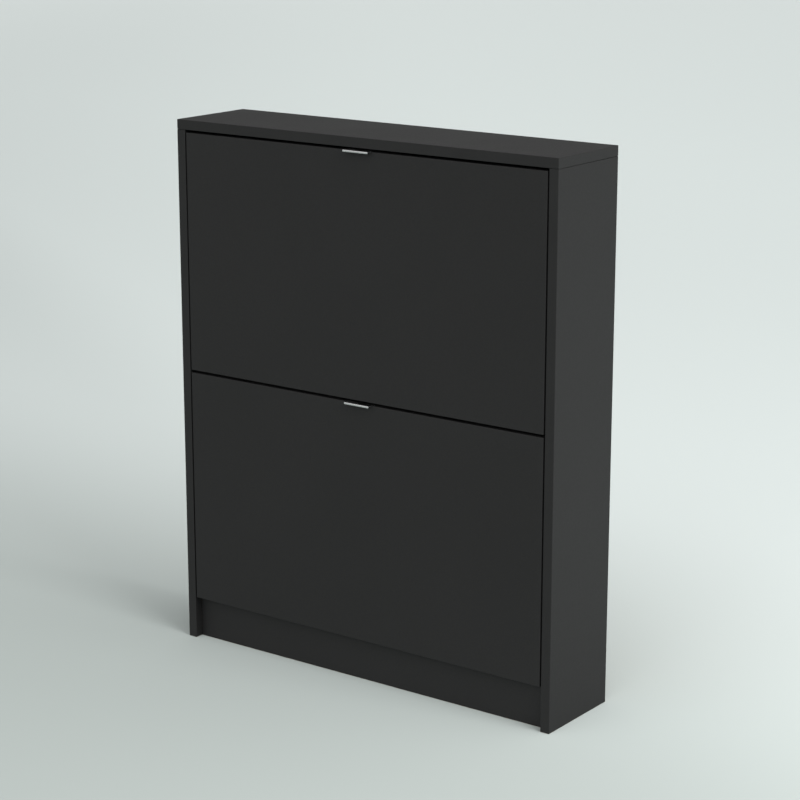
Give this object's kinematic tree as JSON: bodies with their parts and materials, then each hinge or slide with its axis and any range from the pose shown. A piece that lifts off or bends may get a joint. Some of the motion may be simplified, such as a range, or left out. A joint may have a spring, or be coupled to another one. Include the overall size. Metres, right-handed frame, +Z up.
{
  "type": "shoe cabinet",
  "caption": "Slim floor-standing shoe cabinet: flat board carcass on a recessed plinth, with tilting flap doors one above the other, each carrying a shoe bin and a small tab pull.",
  "frame": {"origin": "on the floor, at the middle of the bounding box in plan", "axes": "+Z up, +X to the right and +Y to the back, as seen by a person in front of the doors"},
  "size_m": [0.702, 0.168, 0.85],
  "materials": {
    "board": "matte black melamine-faced particleboard with a fine pearl texture",
    "back_board": "thin hardboard, black lacquer inside, raw brown outside",
    "black_plastic": "moulded black plastic, fine texture",
    "buffer_rubber": "soft matte",
    "zinc_steel": "zinc plated",
    "satin_aluminium": "satin anodised"
  },
  "bodies": {
    "carcass": {"back_joint_strip": "black_plastic", "back_panel_lower": "back_board", "back_panel_upper": "back_board", "door_buffer_lower_left": "buffer_rubber", "door_buffer_lower_right": "buffer_rubber", "door_buffer_upper_left": "buffer_rubber", "door_buffer_upper_right": "buffer_rubber", "hanger_screw_left": "zinc_steel", "hanger_screw_right": "zinc_steel", "pivot_bush_lower_left": "black_plastic", "pivot_bush_lower_right": "black_plastic", "pivot_bush_upper_left": "black_plastic", "pivot_bush_upper_right": "black_plastic", "plinth_board": "board", "plinth_cam_left": "zinc_steel", "plinth_cam_right": "zinc_steel", "rail_middle_cam_left": "zinc_steel", "rail_middle_cam_right": "zinc_steel", "rail_top_cam_left": "zinc_steel", "rail_top_cam_right": "zinc_steel", "rear_rail_bottom": "board", "rear_rail_middle": "board", "rear_rail_top": "board", "side_panel_left": "board", "side_panel_right": "board", "stop_pin_lower_left": "zinc_steel", "stop_pin_lower_right": "zinc_steel", "stop_pin_upper_left": "zinc_steel", "stop_pin_upper_right": "zinc_steel", "top_cam_left_front": "zinc_steel", "top_cam_left_rear": "zinc_steel", "top_cam_right_front": "zinc_steel", "top_cam_right_rear": "zinc_steel", "top_panel": "board", "wall_hanger_plate": "zinc_steel"},
    "upper_flap": {"upper_bin_back_board": "back_board", "upper_bin_floor_board": "board", "upper_bracket_left": "black_plastic", "upper_bracket_right": "black_plastic", "upper_bracket_screw_left_high": "zinc_steel", "upper_bracket_screw_left_low": "zinc_steel", "upper_bracket_screw_right_high": "zinc_steel", "upper_bracket_screw_right_low": "zinc_steel", "upper_door_panel": "board", "upper_pull": "satin_aluminium", "upper_pull_screw_left": "zinc_steel", "upper_pull_screw_right": "zinc_steel"},
    "lower_flap": {"lower_bin_back_board": "back_board", "lower_bin_floor_board": "board", "lower_bracket_left": "black_plastic", "lower_bracket_right": "black_plastic", "lower_bracket_screw_left_high": "zinc_steel", "lower_bracket_screw_left_low": "zinc_steel", "lower_bracket_screw_right_high": "zinc_steel", "lower_bracket_screw_right_low": "zinc_steel", "lower_door_panel": "board", "lower_pull": "satin_aluminium", "lower_pull_screw_left": "zinc_steel", "lower_pull_screw_right": "zinc_steel"}
  },
  "joints": [
    {"name": "upper_tilt", "type": "hinge", "parent": "carcass", "child": "upper_flap", "pos_m": [0, -0.054, 0.5323], "axis": [1, 0, 0], "range_deg": [0, 42]},
    {"name": "lower_tilt", "type": "hinge", "parent": "carcass", "child": "lower_flap", "pos_m": [0, -0.054, 0.1498], "axis": [1, 0, 0], "range_deg": [0, 42]}
  ]
}
